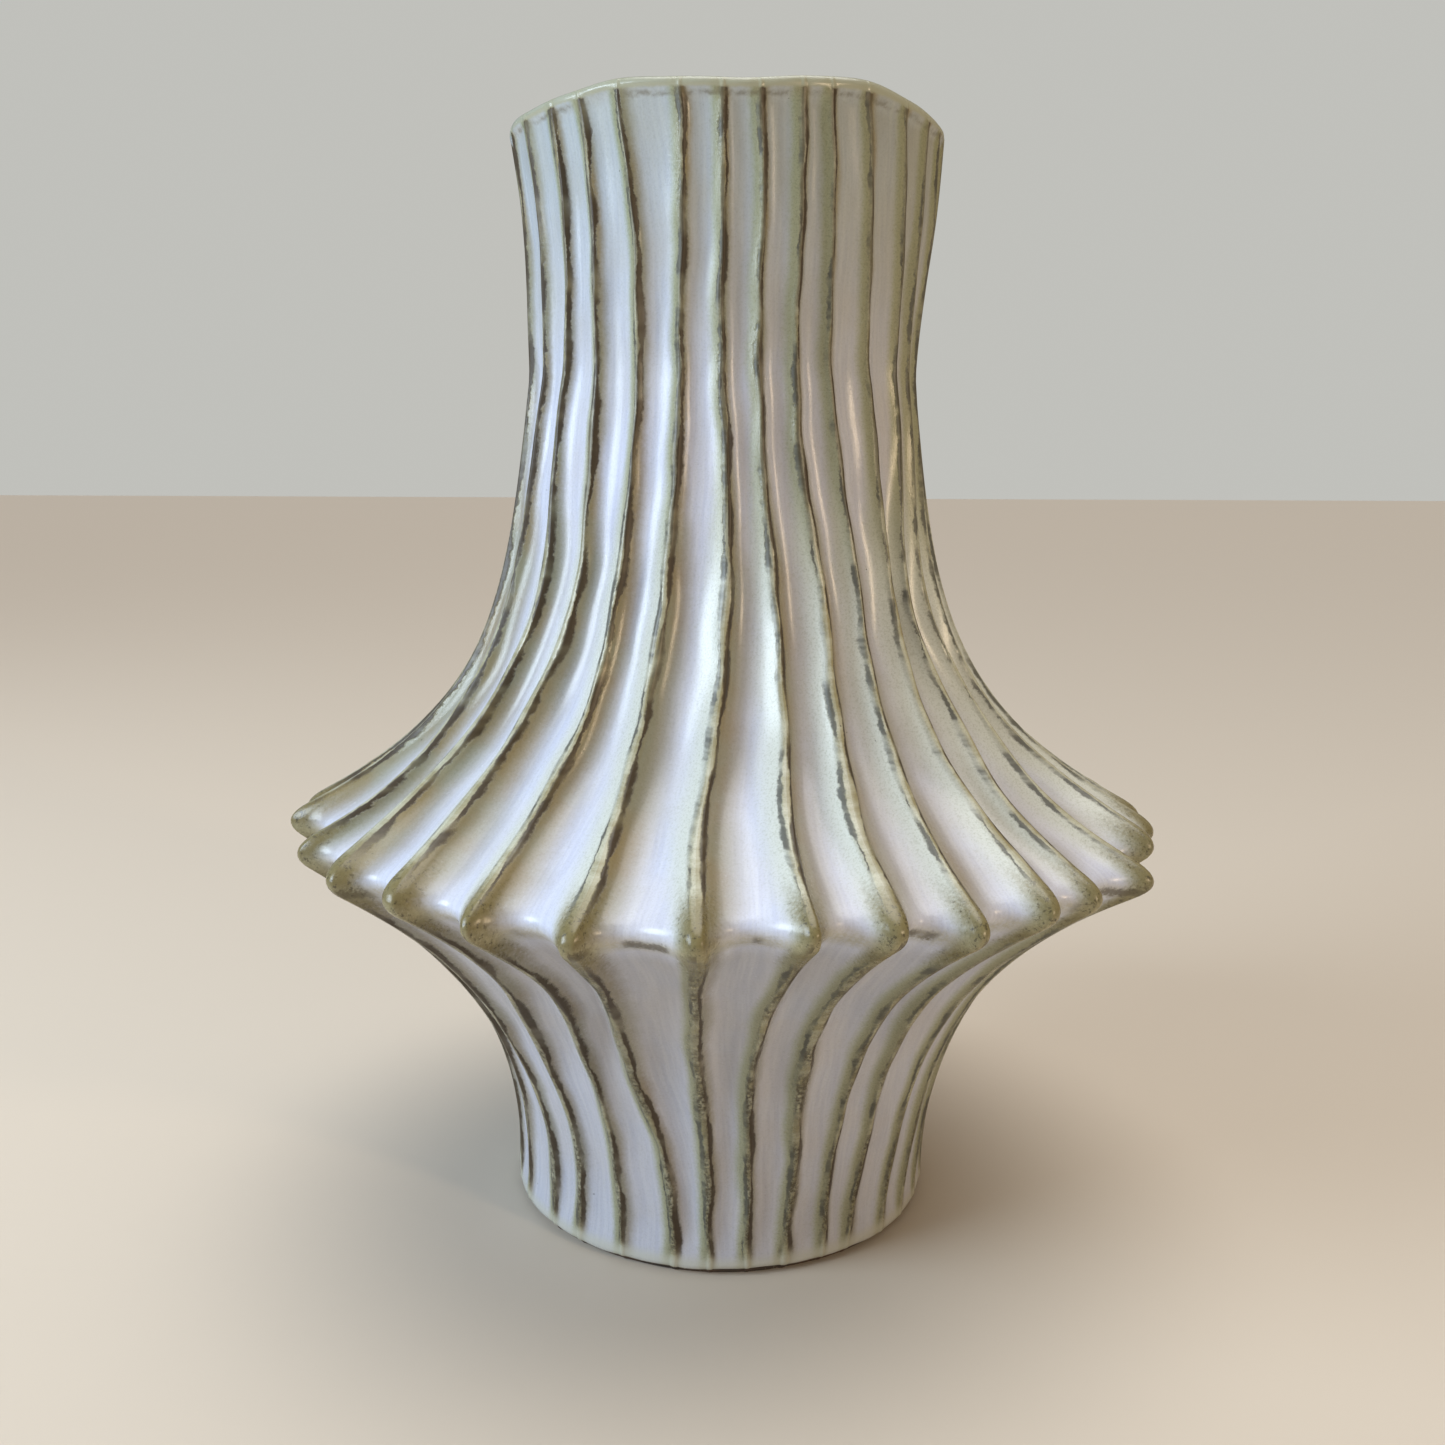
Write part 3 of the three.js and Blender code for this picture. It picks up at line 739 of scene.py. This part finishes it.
    # The lip is a smooth grey-green, with a broken line under it. The lower edge gathers cream.
    colour = tint(tree, calc("MULTIPLY", on_lip, 0.9), colour, (0.42, 0.43, 0.32, 1))
    lip_sway = centred(cloud(tree, place, 0.2, 5.0, 0.7), 2.6)
    under_lip = calc("ADD", calc("SUBTRACT", along, lip_along - 0.9), lip_sway)
    lip_line = fade(tree, calc("ABSOLUTE", under_lip), 0.9, 0.0)
    lip_line = calc("MULTIPLY", lip_line, fade(tree, cloud(tree, place, 0.16, 5.0, 0.7), 0.40, 0.62))
    colour = tint(tree, calc("MULTIPLY", lip_line, 0.55), colour, (0.14, 0.12, 0.07, 1))
    bead = fade(tree, z, glaze_line + 5.0, glaze_line + 1.5)
    colour = tint(tree, calc("MULTIPLY", bead, 0.7), colour, (0.58, 0.58, 0.49, 1))
    holes = speck_mask(tree, place, 7.0, 0.17, 0.5)
    colour = tint(tree, calc("MULTIPLY", holes, 0.85), colour, (0.03, 0.028, 0.025, 1))

    lines = calc("MAXIMUM", calc("MAXIMUM", grey_line, brown_line), dark_land)
    relief = calc("ADD", calc("MULTIPLY", grain, 0.05), calc("MULTIPLY", fine, 0.03))
    relief = calc("ADD", relief, calc("MULTIPLY", flow, 0.025))
    relief = calc("SUBTRACT", relief, calc("MULTIPLY", lines, 0.12))
    relief = calc("SUBTRACT", relief, calc("MULTIPLY", holes, 0.2))
    bump = node(tree, "Bump", {"Strength": 0.8, "Distance": MM, "Height": relief})
    gloss = calc("ADD", between(tree, grain, 0.15, 0.33), calc("MULTIPLY", lines, 0.15))
    tree.links.new(colour, surface.inputs["Base Color"])
    tree.links.new(gloss, surface.inputs["Roughness"])
    tree.links.new(bump.outputs[0], surface.inputs["Normal"])
    return material


outer_glaze.data.materials.append(breaking_glaze())
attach(outer_glaze, "root")
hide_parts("outer_glaze")

# ----------------------------------------------------------------------------------------- Liner glaze
# Off-white glaze poured round the inside and out again before the pot was dipped. It follows the throwing
# rings of the bore, pools on the floor, and ends under the lap of the outer glaze.

liner_wall = 0.8
liner_z = spaced(corner_top + 3, lap_height - 0.5, 3.0, 1.6)[::-1]


def throwing_rings(z):
    return 0.22 * np.sin(z / 1.9 + 0.8 * np.sin(z / 23)) * np.clip((z - corner_top) / 15, 0, 1)


def liner_face(offset):
    """One face of the liner, down the wall and over the floor, that far off the clay"""
    ripple = throwing_rings(liner_z) if offset > clearance else 0
    wall = np.column_stack([outline(liner_z, **bore_form) - offset - ripple, liner_z])
    inset = corner_radius - offset
    corner = [
        (corner_wall - corner_radius + inset * math.cos(t), corner_top - inset * math.sin(t))
        for t in corner_turns
    ]
    rise = np.linspace(corner[-1][0], 0, 14)[1:]
    swirl = 0.15 * np.cos(rise / 2.2) if offset > clearance else 0 * rise
    floor = np.column_stack([rise, floor_top + offset + swirl])
    return np.vstack([wall, corner, floor])


inner_face, outer_face = liner_face(clearance + liner_wall), liner_face(clearance)
liner_rows = plain_rings(np.vstack([outer_face[::-1], inner_face]))
liner_glaze, _, _ = thrown_piece("liner_glaze_coat", uneven_rim(liner_rows))
joined(liner_glaze)
liner, tree, surface = new_material("liner_glaze")
place = millimetres(tree)
settled = cloud(tree, place, 0.06, 4.0, 0.55)
peel = cloud(tree, place, 1.4, 3.0, 0.55)
tone = tint(tree, fade(tree, settled, 0.35, 0.68), (0.56, 0.54, 0.46, 1), (0.68, 0.67, 0.61, 1))
pricks = speck_mask(tree, place, 4.0, 0.2, 0.5)
tone = tint(tree, sum_of(tree, "MULTIPLY", pricks, 0.8), tone, (0.10, 0.08, 0.06, 1))
tree.links.new(tone, surface.inputs["Base Color"])
tree.links.new(between(tree, peel, 0.22, 0.42), surface.inputs["Roughness"])
height_map = sum_of(tree, "MULTIPLY", peel, 0.05)
bump = node(tree, "Bump", {"Strength": 0.7, "Distance": MM, "Height": height_map})
tree.links.new(bump.outputs[0], surface.inputs["Normal"])
liner_glaze.data.materials.append(liner)
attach(liner_glaze, "root")
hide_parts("liner_glaze")

# ----------------------------------------------------------------------------------------- Studio
# A pale floor, a cool soft window light from the left, a small warm lamp from the right, a wide soft sky from
# above, and dim air all round that looks pale.

bpy.ops.object.select_all(action="DESELECT")
bpy.ops.mesh.primitive_plane_add(size=30)
studio_floor = bpy.context.object
studio_floor.name = "studio_floor"
paper, tree, surface = new_material("pale_floor")
surface.inputs["Base Color"].default_value = (0.62, 0.55, 0.46, 1)
surface.inputs["Roughness"].default_value = 0.75
studio_floor.data.materials.append(paper)


def soft_light(name, place, aim, size, power, colour):
    bpy.ops.object.light_add(type="AREA", location=place)
    light = bpy.context.object
    light.name = name
    light.data.shape = "DISK"
    light.data.size = size
    light.data.energy = power
    light.data.color = colour
    away = light.location - Vector(aim)
    light.rotation_euler = away.to_track_quat("Z", "Y").to_euler()


middle_height = height * MM / 2
soft_light("window_left", (-1.2, -0.5, 0.75), (0, 0, middle_height), 0.8, 17, (0.74, 0.87, 1.0))
soft_light("lamp_right", (0.9, -0.8, 0.55), (0, 0, middle_height), 0.13, 3.0, (1.0, 0.77, 0.52))
bpy.ops.object.light_add(type="SUN", rotation=(-0.12, 0.10, 0))
sky = bpy.context.object
sky.name = "sky_top"
sky.data.energy = 2.0
sky.data.angle = 0.9
sky.data.color = (1.0, 0.98, 0.95)

world = bpy.data.worlds.new("pale_air")
bpy.context.scene.world = world
world.use_nodes = True
tree = world.node_tree
air = tree.nodes["Background"]
side = node(tree, "SeparateXYZ", {0: node(tree, "TexCoord").outputs["Generated"]}).outputs[0]
air_tone = tint(tree, fade(tree, side, -0.7, 0.7), (0.66, 0.80, 1.0, 1), (0.92, 0.72, 0.50, 1))
tree.links.new(air_tone, air.inputs["Color"])
air.inputs["Strength"].default_value = 0.24
seen = node(tree, "Background", {"Color": (0.53, 0.53, 0.50, 1)})
ray = node(tree, "LightPath").outputs["Is Camera Ray"]
either = node(tree, "MixShader", {0: ray, 1: air.outputs[0], 2: seen.outputs[0]})
tree.links.new(either.outputs[0], tree.nodes["World Output"].inputs["Surface"])

camera_place, down_tilt, roll = (-0.0003, -0.3854, 0.209), 0.18, -0.004
bpy.ops.object.camera_add(location=camera_place, rotation=(math.pi / 2 - down_tilt, roll, 0))
camera = bpy.context.object
camera.name = "camera"
camera.data.sensor_width = 36
camera.data.lens = 33.28
bpy.context.scene.camera = camera
bpy.context.scene.view_settings.view_transform = "Standard"

bpy.context.view_layer.update()
